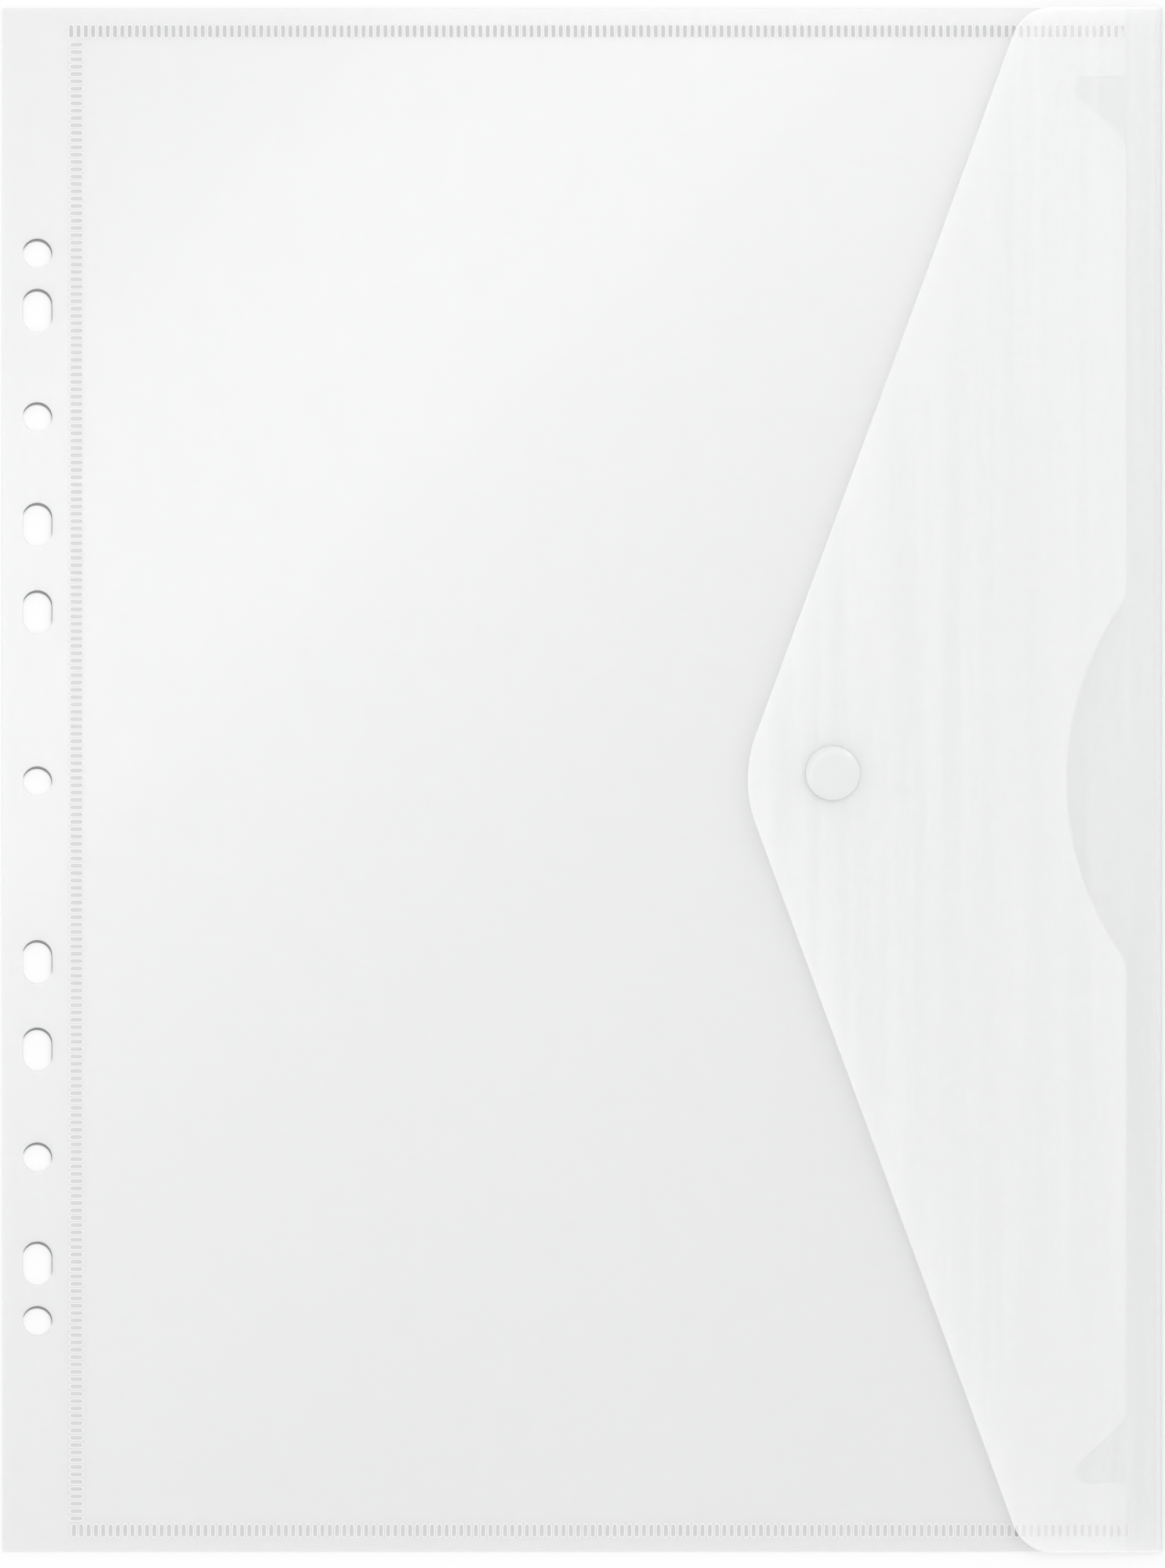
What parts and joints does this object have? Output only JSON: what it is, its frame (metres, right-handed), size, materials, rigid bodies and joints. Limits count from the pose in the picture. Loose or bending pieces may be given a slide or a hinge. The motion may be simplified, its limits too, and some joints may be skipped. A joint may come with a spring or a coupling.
{
  "type": "plastic snap envelope",
  "caption": "Translucent plastic document envelope with a punched filing margin, welded edges and a V flap that closes over the mouth with a press snap.",
  "frame": {"origin": "on the table under the middle of the envelope's outline", "axes": "+X towards the fold of the flap, +Y towards the top edge, +Z out of the front"},
  "size_m": [0.2344, 0.3122, 0.0066],
  "materials": {
    "film": "satin",
    "flap_film": "satin",
    "fused_film": "satin",
    "snap_plastic": "gloss"
  },
  "bodies": {
    "envelope": {"back_sheet": "film", "front_margin": "film", "front_panel": "film", "front_spine_slope": "film", "front_top_slope": "film", "front_bottom_slope": "film", "fold_hinge": "film", "top_weld": "fused_film", "bottom_weld": "fused_film", "spine_weld": "fused_film", "snap_stud": "snap_plastic", "snap_stud_cap": "snap_plastic"},
    "flap": {"flap_slope": "flap_film", "flap_panel": "flap_film", "snap_cap": "snap_plastic", "snap_socket": "snap_plastic"}
  },
  "joints": [
    {"name": "flap_fold", "type": "hinge", "parent": "envelope", "child": "flap", "pos_m": [0.11595, 0, 0.00125], "axis": [0, 1, 0], "range_deg": [0, 175], "deforming": ["fold_hinge"]}
  ]
}
